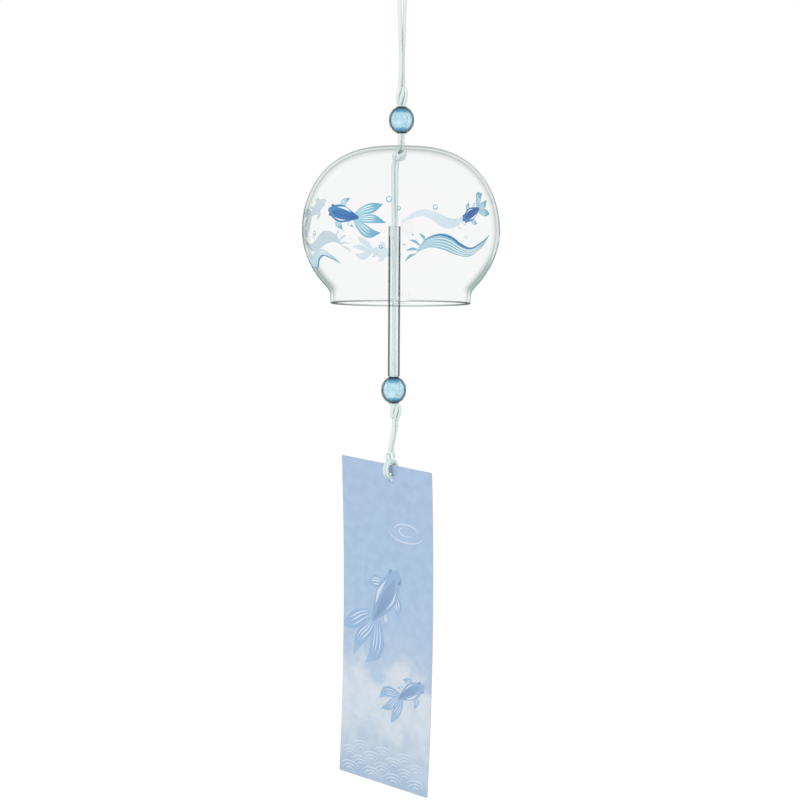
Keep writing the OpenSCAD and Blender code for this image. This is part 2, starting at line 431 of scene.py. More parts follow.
# Painted light on the outline by height: a greenish glint painted at the foot of the belly, and
# painted shade that makes the outline darkest round the belly
FOOT_PAINTED_GLINT = ((0.58, 0.78), [
    (-27, "#FFFFFF"), (-23.8, "#E0EAE6"), (-17, "#E0EAE6"), (-7, "#FFFFFF"),
])
# Painted shade on the outline, darkest round the belly
BELLY_PAINTED_SHADE = ((0.84, 0.95), [
    (-26, "#FFFFFF"), (-21, "#D6DFDD"), (-15, "#CAD4D5"), (8, "#C4CED1"), (12, "#D8DFE0"),
    (18, "#F4F6F6"), (22, "#FFFFFF"), (29, "#FFFFFF"), (33.5, "#ECEFEE"),
])
# The rounded lip, where more of the wall is looked through: its darker line is painted shade for
# the dark surroundings the lip mirrors and bends, over the glass's own faint tint
LIP_EDGE = [(0.0, "#E8EBEA"), (0.3, "#D6DAD8"), (0.6, "#B5BCB9"), (1.0, "#98A19D")]
# Drawn borosilicate tube: clear in the middle, and a painted dark line along each side where its
# wall is looked through lengthways, painted shade for the dark surroundings that the wall mirrors
# and bends there
BOROSILICATE_OUTER = [
    (0.0, "#FCFDFD"), (0.23, "#FAFCFD"), (0.31, "#A4AAAE"), (0.4, "#888F94"),
    (0.48, "#8F969A"), (0.58, "#CED3D6"), (1.0, "#D8DCDF"),
]
BOROSILICATE_INNER = [(0.0, "#FCFDFD"), (0.7, "#F8FAFB"), (1.0, "#F1F4F6")]


def nearness_to_pole(tree, ball):
    """How near a point of a bead lies to the ends of its hole: 0 at its middle, 1 at them."""
    parts = node(tree, "SeparateXYZ", links={0: ball.outputs["Vector"]})
    return node(tree, "Math", {"operation": "ABSOLUTE"}, {0: parts.outputs["Z"]})


def clear_acrylic():
    """Moulded transparent acrylic, pale sky blue through its middle, with painted shade: a fine
    dark blue ring round its rim, deeper teal about the ends of its hole, and a lighter or darker
    shade on each facet, as if each caught the light its own way."""
    material, tree, out = new_material("moulded_blue_acrylic")
    ball = node(tree, "Attribute", {"attribute_name": "ball_normal"})
    outward = node(tree, "VectorTransform", TO_WORLD, {0: ball.outputs["Vector"]})
    edge = node(tree, "LayerWeight", {"Blend": 0.5}, {"Normal": outward})
    # Painted shade: a fine dark blue ring where the bead is seen edge on
    rim = ramp(tree, edge.outputs["Facing"], [
        (0.0, "#DFF1F8"), (0.26, "#D2EBF4"), (0.37, "#A0CBDB"), (0.44, "#456F80"),
        (0.51, "#13292F"), (1.0, "#0B1A1F"),
    ])
    # Painted shade: deeper teal about the ends of the hole
    ends = ramp(tree, nearness_to_pole(tree, ball), [
        (0.78, "#FFFFFF"), (0.9, "#48B0CE"), (1.0, "#1B86AE"),
    ])
    # Painted light: each facet lighter or darker, as if it caught the light its own way
    shade = node(tree, "Attribute", {"attribute_name": "facet_painted_light"})
    cut = ramp(tree, shade.outputs["Fac"], [
        (0.0, "#BBDDEA"), (0.35, "#DDF0F7"), (0.7, "#F3FAFD"), (1.0, "#FFFFFF"),
    ])
    ball_tint = node(tree, "Mix", MULTIPLY, {6: rim, 7: ends})
    tint = node(tree, "Mix", {**MULTIPLY, 0: 0.8}, {6: ball_tint.outputs[2], 7: cut})
    body = node(
        tree, "BsdfPrincipled",
        {"Transmission Weight": 0.85, "Roughness": 0.02, "IOR": 1.49},
        {"Base Color": tint.outputs[2]},
    )
    see_through_shadow(tree, out, body, "#F2F9FC", in_mirror=True)
    return material


def drilled_acrylic():
    """The wall of a bead's hole: frosted by the drill, with painted dark teal about both ends,
    where the light is caught between hole and facets, and painted shade along it where it is seen
    aslant."""
    material, tree, out = new_material("drilled_blue_acrylic")
    ball = node(tree, "Attribute", {"attribute_name": "ball_normal"})
    ends = ramp(tree, nearness_to_pole(tree, ball), [
        (0.36, "#E4F4FA"), (0.42, "#CBE7F1"), (0.48, "#3AA8CC"), (0.6, "#1388B4"),
        (0.8, "#0E6A92"), (1.0, "#0E4A6A"),
    ])
    # Painted shade along the hole's wall where it is seen aslant
    edge = node(tree, "LayerWeight", {"Blend": 0.5})
    sides = ramp(tree, edge.outputs["Facing"], [(0.3, "#FFFFFF"), (0.8, "#A9CADA")])
    tint = node(tree, "Mix", MULTIPLY, {6: ends, 7: sides})
    body = node(
        tree, "BsdfPrincipled",
        {"Transmission Weight": 0.4, "Roughness": 0.35, "IOR": 1.3},
        {"Base Color": tint.outputs[2]},
    )
    see_through_shadow(tree, out, body, "#F2F9FC", in_mirror=True)
    return material


def braided_nylon():
    """Braided nylon cord, pale mint: satin, with a fine braid of 0.5 mm stitches, painted shade in
    the braid's hollows and painted shade along its edges.
    """
    material, tree, out = new_material("braided_nylon_cord")
    uv = node(tree, "UVMap")
    heights = []
    for turn in (52, -52):
        place = node(tree, "Mapping", {"Rotation": (0, 0, radians(turn))}, {"Vector": uv})
        wave = node(
            tree, "TexWave", {"Scale": 0.62, "Distortion": 0.4, "Detail": 1.0}, {"Vector": place}
        )
        heights.append(wave.outputs["Fac"])
    braid = node(tree, "Math", {"operation": "MULTIPLY"}, {0: heights[0], 1: heights[1]})
    bump = node(tree, "Bump", {"Strength": 0.35, "Distance": 0.12 * MM}, {"Height": braid})
    # Painted shade: the yarn darker in the braid's hollows and lighter on its stitches
    yarn_hollow_shade = ramp(tree, braid, [(0.0, "#D3DFDD"), (0.5, "#E1ECEA"), (1.0, "#EDF5F4")])
    # Painted shade: the cord darker along its edges, where it is seen aslant
    edge = node(tree, "LayerWeight", {"Blend": 0.5})
    gloss = ramp(tree, edge.outputs["Facing"], [
        (0.0, "#FFFFFF"), (0.5, "#F6FAF9"), (0.8, "#CBD8D5"), (1.0, "#9DAFAB"),
    ])
    tint = node(tree, "Mix", MULTIPLY, {6: yarn_hollow_shade, 7: gloss})
    cord = node(
        tree, "BsdfPrincipled",
        {
            "Roughness": 0.38, "IOR": 1.53, "Subsurface Weight": 0.25,
            "Subsurface Radius": (0.8, 1.0, 1.0), "Subsurface Scale": 0.6 * MM,
            "Sheen Weight": 0.12, "Sheen Roughness": 0.4,
        },
        {"Base Color": tint.outputs[2], "Normal": bump},
    )
    tree.links.new(cord.outputs[0], out)
    return material


def ink(name, codes, gloss=0.34):
    """Fired enamel or printing ink: a little uneven, and running from one colour to the
    next along each brush shape."""
    material, tree, out = new_material(name)
    uv = node(tree, "UVMap")
    parts = node(tree, "SeparateXYZ", links={0: uv})
    # Uneven coat, in blots of about 1 mm
    coat = node(
        tree, "TexNoise", {"Scale": 900.0, "Detail": 3.0},
        {"Vector": node(tree, "TexCoord").outputs["Object"]},
    )
    shift = node(
        tree, "Math", {"operation": "MULTIPLY_ADD", 1: 0.3, 2: -0.15}, {0: coat.outputs["Fac"]}
    )
    along = node(tree, "Math", {"operation": "ADD"}, {0: parts.outputs["X"], 1: shift})
    tint = ramp(tree, along, [(i / (len(codes) - 1), code) for i, code in enumerate(codes)])
    coating = node(tree, "BsdfPrincipled", {"Roughness": gloss, "IOR": 1.5}, {"Base Color": tint})
    tree.links.new(coating.outputs[0], out)
    return material


def coated_card():
    """Coated card printed with a sky-blue wash that pales to a mottled mist near the foot."""
    material, tree, out = new_material("coated_card")
    uv = node(tree, "UVMap")
    # Soft blots about 14 mm wide, and finer ones of 5 mm, both in the card's own millimetres
    blots = node(
        tree, "TexNoise", {"Scale": 0.07, "Detail": 3.0, "Roughness": 0.5}, {"Vector": uv}
    )
    fine = node(
        tree, "TexNoise", {"Scale": 0.2, "Detail": 4.0, "Roughness": 0.55}, {"Vector": uv}
    )
    parts = node(tree, "SeparateXYZ", links={0: uv})
    drop = node(
        tree, "Math", {"operation": "MULTIPLY_ADD", 1: 44.0, 2: -22.0}, {0: blots.outputs["Fac"]}
    )
    height = node(tree, "Math", {"operation": "ADD"}, {0: parts.outputs["Y"], 1: drop})
    share = node(tree, "Math", {"operation": "DIVIDE", 1: STRIP_L / MM}, {0: height})
    wash = ramp(tree, share, [
        (0.0, "#A6BCD2"), (0.1, "#BACADA"), (0.2, "#CBD6E0"), (0.3, "#CFD8E2"),
        (0.4, "#AFC4DA"), (0.62, "#A5C0D9"), (1.0, "#A7BEDA"),
    ])
    mist = ramp(tree, fine.outputs["Fac"], [(0.35, "#E6E9EE"), (0.65, "#FFFFFF")])
    tint = node(tree, "Mix", {**MULTIPLY, 0: 0.4}, {6: wash, 7: mist})
    # Paper tooth of about 0.25 mm
    tooth = node(tree, "TexNoise", {"Scale": 4.0, "Detail": 3.0}, {"Vector": uv})
    bump = node(
        tree, "Bump", {"Strength": 0.12, "Distance": 0.05 * MM}, {"Height": tooth.outputs["Fac"]}
    )
    card = node(
        tree, "BsdfPrincipled", {"Roughness": 0.5, "IOR": 1.45},
        {"Base Color": tint.outputs[2], "Normal": bump},
    )
    tree.links.new(card.outputs[0], out)
    return material


def card_core():
    """The cut edge of the card, grey-white board."""
    material, tree, out = new_material("card_board_edge")
    core = node(tree, "BsdfPrincipled", {"Roughness": 0.8, "Base Color": linear("#B4BCC6")})
    tree.links.new(core.outputs[0], out)
    return material


def seen_share(tree):
    """1 for what the camera sees, by itself or in and through glass, and 0 for lighting."""
    path = node(tree, "LightPath")
    share = path.outputs["Is Camera Ray"]
    for way in ("Glossy", "Transmission"):
        share = node(tree, "Math", LARGER, {0: share, 1: path.outputs[f"Is {way} Ray"]})
    return share


def white_studio():
    """White for the camera and in glass, and a plain even light on everything else."""
    world = bpy.data.worlds.new("studio")
    bpy.context.scene.world = world
    world.use_nodes = True
    tree = world.node_tree
    tree.nodes.clear()
    light = node(tree, "Background", {"Color": linear("#FFFFFF"), "Strength": 0.8})
    back = node(tree, "Background", {"Color": linear("#FFFFFF"), "Strength": 1.0})
    mix = node(tree, "MixShader", links={0: seen_share(tree), 1: light, 2: back})
    node(tree, "OutputWorld", links={"Surface": mix})


def floor_paint():
    """White studio floor: white to the camera, and darker only where a shadow falls."""
    material, tree, out = new_material("studio_floor")
    share = node(tree, "Math", {"operation": "MULTIPLY", 1: 0.32}, {0: seen_share(tree)})
    glow = node(tree, "Emission", {"Color": linear("#FFFFFF")}, {"Strength": share})
    matt = node(tree, "BsdfDiffuse", {"Color": linear("#EDEDED")})
    both = node(tree, "AddShader", links={0: glow, 1: matt})
    tree.links.new(both.outputs[0], out)
    return material


# ---- camera, light, floor
def set_camera():
    lens = bpy.data.cameras.new("photo_camera")
    lens.sensor_width = SENSOR_MM
    lens.lens = FOCAL_PX * SENSOR_MM / PHOTO_PX
    lens.clip_start = 0.05
    camera = bpy.data.objects.new("photo_camera", lens)
    bpy.context.scene.collection.objects.link(camera)
    camera.matrix_world = (
        Matrix.Translation(CAMERA_AT)
        @ Matrix.Rotation(pi / 2 - CAMERA_DOWN, 4, "X")
        @ Matrix.Rotation(CAMERA_ROLL, 4, "Z")
    )
    bpy.context.scene.camera = camera


def soft_box(name, place, target, size, watts):
    lamp = bpy.data.lights.new(name, "AREA")
    lamp.size = size
    lamp.energy = watts
    box = bpy.data.objects.new(name, lamp)
    bpy.context.scene.collection.objects.link(box)
    aim = Vector(target) - Vector(place)
    box.location = place
    box.rotation_euler = aim.to_track_quat("-Z", "Y").to_euler()
    box.visible_transmission = False
    box.visible_glossy = False


def set_studio():
    white_studio()
    middle = (0, 0, (CROWN_Z + RIM_Z) / 2 - 60 * MM)
    soft_box("key_light", (-0.9, -1.1, 0.7), middle, 0.9, 9)
    soft_box("fill_light", (1.1, -0.8, 0.2), middle, 1.0, 3)
    soft_box("back_light", (0.3, 1.2, 0.6), middle, 1.0, 4)
    deselect()
    bpy.ops.mesh.primitive_plane_add(size=FLOOR_SIDE, location=(0, 0, FLOOR_Z))
    floor = newest("floor")
    floor.data.materials.append(floor_paint())
    bpy.context.scene.view_settings.view_transform = "Standard"


# ---- cords
# Half of the hanging loop, in millimetres above its knot: up one strand and over the hook
LOOP_SIDE = [
    (0.8, 0.5, 0), (0.6, 0.62, 3), (0.42, 0.7, 7), (0.4, 0.72, 11), (0.5, 0.7, 15),
    (0.66, 0.62, 19), (0.8, 0.5, 23), (0.9, 0.4, 27), (1, 0.3, 31), (1.1, 0.2, 34.5),
    (1.4, 0.1, 39), (2, 0, 43), (2.7, 0, 46.5), (3.1, 0, 49), (3.2, 0, 50.5),
    (2.8, 0, 52.2), (1.6, 0, 53.3),
]
LOOP_TOP = (0, 0, 53.75)


def hanging_loop(cord):
    knot_top = Vector((0, 0, LOOP_KNOT_HIGH.z))
    points = [(-x, -y, z) for x, y, z in LOOP_SIDE] + [LOOP_TOP] + LOOP_SIDE[::-1]
    step = 0.5 * MM
    route = rounded([knot_top + Vector(p) * MM for p in points], step)
    loop = strand("loop_cord", route, step, smooth_route=False)
    dress(loop, cord, "hanger", "cord", "hanging_loop")


def doubled(name, stops):
    """Two strands side by side along stops of (x, z, turn of the pair in degrees)."""
    strands = []
    for side in (-1, 1):
        points = [
            (x + side * PAIR_X * cos(radians(turn)), side * PAIR_X * sin(radians(turn)), z)
            for x, z, turn in stops
        ]
        strands.append(strand(f"{name}_{side}", points, 0.6 * MM))
    return joined(strands, name)


def neck_cord(cord):
    top, bottom = LOOP_KNOT_LOW.z + 0.4 * MM, BELL_KNOT_HIGH.z - 1.2 * MM
    stops = [
        (0, top, 0), (0, top - 4 * MM, 20), (0, TOP_BEAD_LOW.z, 34),
        (-0.1 * MM, CROWN_Z, 22), (-0.3 * MM, bottom, 0),
    ]
    dress(doubled("neck_strands", stops), cord, "neck", "cord", "neck_cord")


def clapper_cord(cord):
    """From the crown's knot, out at its lower left, then straight down through tube and bead."""
    x, top = CLAPPER_X, BELL_KNOT_Z
    stops = [
        (0.7 * x, top - 1.2 * MM, 0), (0.9 * x, top - 3.2 * MM, 0), (x, top - 6.5 * MM, 6),
        (x, top - 12 * MM, 12), (x, top - 20 * MM, 30), (x, TUBE_HIGH.z - 4 * MM, 70),
        (x, TUBE_HIGH.z - 16 * MM, 84), (x, TUBE_LOW.z + 16 * MM, 84), (x, TUBE_LOW.z, 60),
        (x, BOTTOM_BEAD_LOW.z, 30), (x, BEAD_KNOT_HIGH.z - 0.5 * MM, 10),
    ]
    dress(doubled("clapper_strands", stops), cord, "clapper", "cord", "clapper_cord")


def tail_cord(cord):
    """Out of the bead knot's right side and down to the left, its strands half overlapping."""
    top, bottom = BEAD_KNOT_LOW.z + 1.2 * MM, STRIP_KNOT_TOP - 0.5 * MM
    fall = bottom - top
    x = CLAPPER_X
    stops = [
        (x + 0.9 * MM, top, 20), (x + 0.7 * MM, top + 0.2 * fall, 40),
        (x + 0.3 * MM, top + 0.45 * fall, 52), (STRIP_X + 0.4 * MM, top + 0.75 * fall, 52),
        (STRIP_X - 0.1 * MM, bottom, 45),
    ]
    dress(doubled("tail_strands", stops), cord, "tail", "cord", "tail_cord")


# A tight overhand knot, as strands from top to bottom in shares of its half width and
# half height: one goes straight down the left, one turns over at the top right
OVERHAND = [
    [(-0.4, 0, 1.1), (-0.62, -0.25, 0.65), (-0.95, -0.38, 0.05), (-0.98, -0.3, -0.45),
     (-0.72, -0.1, -0.82), (-0.42, 0, -1.1)],
    [(-0.1, 0.55, 0.5), (0.3, 0.35, 0.9), (0.72, -0.05, 0.85), (1.08, -0.3, 0.35),
     (1.08, -0.35, -0.1), (0.8, -0.3, -0.65), (0.42, 0, -1.1)],
    [(0.42, 0.1, 1.1), (0.28, -0.35, 0.62), (0.08, -0.75, 0.12), (-0.18, -0.66, -0.42),
     (-0.42, -0.15, -0.95)],
    [(-0.5, 0.4, 0.7), (-0.15, 0.85, 0.3), (0.35, 0.9, -0.1), (0.6, 0.55, -0.55),
     (0.3, 0.15, -0.92)],
]
# The round knot in the crown: it takes in two strands at the top and lets them go at the
# lower left, with leaf-shaped turns that slant from upper right to lower left
ROUND_KNOT = [
    [(0.3, 0, 1.15), (0.5, -0.2, 0.85), (0.62, -0.45, 0.42), (0.3, -0.75, 0.0),
     (-0.35, -0.75, -0.35), (-0.85, -0.45, -0.72)],
    [(-0.4, 0, 1.15), (-0.62, -0.35, 0.75), (-1.0, -0.55, 0.35), (-1.3, -0.4, -0.12),
     (-1.32, -0.2, -0.5), (-1.05, -0.05, -0.8)],
    [(0.55, 0.3, 0.8), (0.66, -0.2, 0.35), (0.6, -0.4, -0.1), (0.2, -0.4, -0.55),
     (-0.35, -0.3, -0.8)],
    [(-0.8, 0.4, 0.6), (-0.4, 0.9, 0.3), (0.2, 0.95, 0.0), (0.5, 0.5, -0.3),
     (0.3, 0.0, -0.6), (-0.1, -0.2, -0.78)],
    [(0.1, 0.7, 0.8), (-0.2, 0.9, -0.2), (-0.6, 0.7, -0.56), (-0.85, 0.2, -0.8)],
]


def knot(name, tangle, low, high, turn=0.0, mirror=1):
    """A knot of strands that fills the box of its node, turned about the upright."""
    middle = (low + high) / 2
    half = (high - low) / 2
    reach = Vector((half.x - STRAND_R, half.y - STRAND_R, half.z - STRAND_R * 0.35))
    spin = Matrix.Rotation(turn, 3, "Z")
    strands = []
    for number, route in enumerate(tangle):
        points = [
            middle + spin @ Vector((x * reach.x * mirror, y * reach.y, z * reach.z))
            for x, y, z in route
        ]
        strands.append(strand(f"{name}_{number}", points, 0.35 * MM))
    return joined(strands, name)


def ring_strands():
    """Two strands side by side that leave the strip's knot, pass through the card's hole
    and come back behind it."""
    front = [
        (-0.15, 4.4), (-1.2, 3.5), (-2.2, 2.35), (-2.85, 1.1), (-2.9, -0.2), (-2.5, -1.5),
        (-1.5, -2.7),
    ]
    side_view = front + [(0.0, -3.2)] + [(-y, z) for y, z in front[::-1]]
    strands = []
    for side in (-1, 1):
        points = [
            STRIP_FRAME @ Vector((side * PAIR_X * (1 - max(0, z - 2.6) / 4), y * MM, z * MM))
            for y, z in side_view
        ]
        strands.append(strand(f"ring_{side}", points, 0.35 * MM))
    return strands


def knots(cord):
    tied = knot("loop_overhand", OVERHAND, LOOP_KNOT_LOW, LOOP_KNOT_HIGH)
    dress(tied, cord, "hanger", "cord", "loop_knot")
    tied = knot("crown_knot", ROUND_KNOT, BELL_KNOT_LOW, BELL_KNOT_HIGH)
    dress(tied, cord, "bell_knot", "cord", "bell_knot")
    low, high = BEAD_KNOT_LOW + BEAD_KNOT_SLIP, BEAD_KNOT_HIGH + BEAD_KNOT_SLIP
    tied = knot("bead_overhand", OVERHAND, low, high, radians(8))
    dress(tied, cord, "clapper", "cord", "bead_knot")
    low = Vector((STRIP_X - STRIP_KNOT_R, -STRIP_KNOT_R, STRIP_KNOT_LOW))
    high = Vector((STRIP_X + STRIP_KNOT_R, STRIP_KNOT_R, STRIP_KNOT_TOP))
    tied = knot("strip_overhand", OVERHAND, low, high, STRIP_YAW, -1)
    piece = joined([tied] + ring_strands(), "strip_hitch")
    dress(piece, cord, "strip_knot", "cord", "strip_knot")


# ---- glass
def bell_radius(height, inset=0.0):
    """Radius of the blown glass at a height, by the same curves as its solid."""
    up = height - WIDEST_Z
    if up >= 0:
        share = min(1, up / (DOME_H - inset))
        return (BELL_R - inset) * cos(asin(share)) ** (2 / DOME_POWER)
    oval = (BELL_R - inset) * sqrt(max(0, 1 - (up / (BELLY_H - inset)) ** 2))
    mouth = MOUTH_R - inset
    return (oval + mouth + sqrt((oval - mouth) ** 2 + CREASE ** 2)) / 2


def bell_side(inset, dome_steps=44, belly_steps=40):
    """One wall of the glass from the crown's hole down to the lip, as (radius, height)."""
    top = acos((CROWN_HOLE_R / (BELL_R - inset)) ** (DOME_POWER / 2))
    side = []
    for i in range(dome_steps + 1):
        angle = top * (1 - i / dome_steps)
        side.append((
            (BELL_R - inset) * cos(angle) ** (2 / DOME_POWER),
            WIDEST_Z + (DOME_H - inset) * sin(angle),
        ))
    bottom = RIM_Z + GLASS_WALL / 2
    for i in range(1, belly_steps + 1):
        height = WIDEST_Z + (bottom - WIDEST_Z) * i / belly_steps
        side.append((bell_radius(height, inset), height))
    return side


def half_round(start, end, steps=9):
    """Points that round off a wall's edge from one point to the other."""
    x, z = (start[0] + end[0]) / 2, (start[1] + end[1]) / 2
    dx, dz = start[0] - x, start[1] - z
    return [
        (x + dx * cos(a) + dz * sin(a), z + dz * cos(a) - dx * sin(a))
        for a in (pi * k / steps for k in range(1, steps))
    ]


def line_with(piece, material, middle_of):
    """Gives the faces that look towards the middle a material of their own."""
    piece.data.materials.append(material)
    for face in piece.data.polygons:
        if face.normal.dot(face.center - middle_of(face.center)) < 0:
            face.material_index = 1


def glass_bell():
    outer = bell_side(0)
    inner = bell_side(GLASS_WALL)
    outline = outer + half_round(outer[-1], inner[-1]) + inner[::-1]
    piece = turned("blown_bell", outline, 192)
    smooth(piece, 50)
    common = {"ior": SODA_LIME_IOR, "clear": "#FCFDFD", "aslant": BELL_ASLANT}
    outside = glass(
        "blown_soda_lime_glass", SODA_LIME_OUTER, outlines=(FOOT_PAINTED_GLINT, BELLY_PAINTED_SHADE), **common
    )
    dress(piece, outside, "bell", "bell_glass", "glass_bell")
    inside = glass("blown_glass_inner_wall", SODA_LIME_INNER, **common)
    line_with(piece, inside, lambda at: Vector((0, 0, WIDEST_Z)))
    piece.data.materials.append(glass("fire_polished_lip", LIP_EDGE, **common))
    lip_top = RIM_Z + GLASS_WALL * 0.6
    for face in piece.data.polygons:
        if face.center.z < lip_top:
            face.material_index = 2


def clapper_tube():
    rows, soft = 12, TUBE_END_R
    top, bottom = TUBE_HIGH.z, TUBE_LOW.z
    straight = top - bottom - 2 * soft
    outer = [(TUBE_R, top - soft - straight * i / rows) for i in range(rows + 1)]
    foot = [
        (TUBE_R - soft * (1 - cos(a)), bottom + soft * (1 - sin(a)))
        for a in (pi / 6, pi / 3, pi / 2)
    ] + [
        (TUBE_BORE_R + soft * (1 - sin(a)), bottom + soft * (1 - cos(a)))
        for a in (0, pi / 6, pi / 3, pi / 2)
    ]
    inner = [(TUBE_BORE_R, z) for r, z in outer[::-1]]
    head = [(r, top + bottom - z) for r, z in foot[::-1]]
    piece = turned("clapper_glass", outer + foot + inner[1:-1] + head, 72, CLAPPER_X)
    smooth(piece, 50)
    common = {
        "ior": BOROSILICATE_IOR, "clear": "#FAFCFC", "aslant": TUBE_ASLANT, "upright": True,
    }
    outside = glass("drawn_borosilicate_glass", BOROSILICATE_OUTER, **common)
    dress(piece, outside, "clapper_tube", "tube_glass", "clapper_tube")
    inside = glass("drawn_tube_bore", BOROSILICATE_INNER, **common)
    line_with(piece, inside, lambda at: Vector((CLAPPER_X, 0, at.z)))


BEAD_SIDES = 12
# Rings of corners from pole to pole, by latitude in degrees, each half a facet further round
BEAD_RINGS = [69, 45, 21, -3, -24, -46, -69]


def bead(name, low, high, acrylic, hole_wall, body):
    """A round bead with rows of three-cornered facets, its hole drilled through."""
    middle = (low + high) / 2
    radius = (high.x - low.x) / 2
    half = (high.z - low.z) / 2
    rows = len(BEAD_RINGS) - 1

    def corner(u, v):
        ring = round(v * rows)
        latitude = radians(BEAD_RINGS[ring])
        turn = 2 * pi * (round(u * BEAD_SIDES) + 0.5 * ring) / BEAD_SIDES
        across = radius * cos(latitude)
        height = half * sin(latitude) / sin(radians(BEAD_RINGS[0]))
        return Vector((across * cos(turn), across * sin(turn), height))

    piece = grid(name, BEAD_SIDES, rows, corner)
    edit(piece)
    bpy.ops.mesh.remove_doubles(threshold=0.001 * MM)
    bpy.ops.mesh.quads_convert_to_tris(quad_method="SHORTEST_DIAGONAL")
    bpy.ops.mesh.select_all(action="DESELECT")
    bpy.ops.mesh.select_non_manifold()
    bpy.ops.mesh.edge_face_add()
    done()
    close_up(piece)
    deselect()
    bpy.ops.mesh.primitive_cylinder_add(vertices=48, radius=BEAD_BORE_R, depth=3 * half)
    drill = newest("drill")
    apply(piece, "BOOLEAN", operation="DIFFERENCE", object=drill, solver="EXACT")
    bpy.data.objects.remove(drill)
    apply(
        piece, "BEVEL", width=FACET_BEVEL, segments=1, limit_method="ANGLE",
        angle_limit=radians(9),
    )
    outward = piece.data.attributes.new("ball_normal", "FLOAT_VECTOR", "POINT")
    for vertex in piece.data.vertices:
        outward.data[vertex.index].vector = vertex.co.normalized()
    # Each facet's painted shade comes from its direction, so that neighbours differ, as if each
    # caught the light its own way
    shade = piece.data.attributes.new("facet_painted_light", "FLOAT", "FACE")
    for face in piece.data.polygons:
        way = face.normal
        shade.data[face.index].value = 0.5 + 0.5 * sin(31 * way.x + 17 * way.y + 43 * way.z)
    dress(piece, acrylic, body, "bead", body)
    line_with(piece, hole_wall, lambda at: Vector((0, 0, at.z)))
    piece.data.transform(Matrix.Translation(middle))
    smooth(piece, 8.5)


# ---- prints
def on_bell(x, y, lift):
    """A place on the outside of the glass: x runs round the belly and y up it, in millimetres
    from the point of the widest ring that faces the camera."""
    height = WIDEST_Z + y * MM
    radius = bell_radius(height) + lift
    angle = x * MM / BELL_R
    return Vector((radius * sin(angle), -radius * cos(angle), height))


def on_card(face):
    """Places a print on the card: x runs across it and y down from its top edge, in
    millimetres. face is -1 for the front, 1 for the back, and 0 for the middle of its
    thickness. Prints stay 0.25 mm inside its edges."""
    curl_r = STRIP_L ** 2 / (8 * CURL) + CURL / 2
    middle = EDGE_UP - STRIP_L / 2
    trim = 0.0 if face == 0 else 0.25
    side, foot = STRIP_W / MM / 2 - trim, STRIP_L / MM - trim

    def place(x, y, lift):
        x = max(-side, min(side, x))
        height = EDGE_UP - min(y, foot) * MM
        bulge = sqrt(curl_r ** 2 - (height - middle) ** 2) - (curl_r - CURL)
        across = -HOLE_SHIFT + x * MM
        return CARD_FRAME @ Vector((across, bulge + face * (STRIP_T / 2 + lift), height))
    return place


def blend_through(points, t):
    """A smooth value through a list of numbers or pairs, at a share of its length."""
    last = len(points) - 1
    i = min(int(t * last), last - 1)
    f = t * last - i
    rows = [points[max(0, i - 1)], points[i], points[i + 1], points[min(last, i + 2)]]
    a, b, c, d = (Vector(r) if hasattr(r, "__len__") else Vector((r, 0)) for r in rows)
    return between(a, b, c, d, f)


def shifted(spine, widths, share):
    """A spine that runs beside another one, at a share of its half width."""
    beside = []
    for k in range(9):
        t = 0.04 + 0.92 * k / 8
        here = blend_through(spine, t)
        ahead = (blend_through(spine, t + 0.02) - blend_through(spine, t - 0.02)).normalized()
        out = share * max(0.0, blend_through(widths, t).x)
        beside.append((here.x - ahead.y * out, here.y + ahead.x * out))
    return beside


def brush(name, place, spine, widths, lift):
    """One brush shape of a print: a stroke along its spine with a half width at each point,
    faced away from what it is printed on."""
    reach = sum((Vector(b) - Vector(a)).length for a, b in zip(spine, spine[1:]))
    columns = max(10, min(48, round(reach * 1.6)))
    rows = 2 if max(widths) < 0.5 else max(2, 2 * round(max(widths)))

    def spot(u, v):
        middle = blend_through(spine, u)
        near = blend_through(spine, max(0, u - 0.01))
        far = blend_through(spine, min(1, u + 0.01))
        ahead = (far - near).normalized()
        offset = (2 * v - 1) * max(0.0, blend_through(widths, u).x)
        return place(middle.x - ahead.y * offset, middle.y + ahead.x * offset, lift)

    shape = grid(name, columns, rows, spot)
    edit(shape)
    bpy.ops.mesh.remove_doubles(threshold=0.002 * MM)
    done()
    at = blend_through(spine, 0.5)
    out = place(at.x, at.y, lift + MM) - place(at.x, at.y, lift)
    facing = sum((face.normal * face.area for face in shape.data.polygons), Vector())
    if facing.dot(out) < 0:
        edit(shape)
        bpy.ops.mesh.flip_normals()
        done()
    return shape


def set_down(marks, at, turn, scale=1.0, mirror=1):
    """A motif's brush shapes, sized, mirrored, turned and moved to their place."""
    c, s = cos(radians(turn)), sin(radians(turn))
    placed = []
    for colour, spine, widths in marks:
        route = [
            (at[0] + scale * (c * x - s * y * mirror), at[1] + scale * (s * x + c * y * mirror))
            for x, y in spine
        ]
        placed.append((colour, route, [scale * w for w in widths]))
    return placed


def printed(name, marks, place, inks, body, slot):
    """Prints brush shapes one over the other, and joins those of each colour."""
    by_colour = {}
    for number, (colour, spine, widths) in enumerate(marks):
        lift = INK_T + INK_BASE + number * INK_STEP
        shape = brush(f"{name}_{number}", place, spine, widths, lift)
        by_colour.setdefault(colour, []).append(shape)
    for colour, shapes in by_colour.items():
        piece = joined(shapes, f"{name}_{colour}")
        dress(piece, inks[colour], body, slot)
        piece.data.materials.append(inks["underlay"])
        apply(piece, "SOLIDIFY", thickness=INK_T, offset=-1.0, material_offset=1)


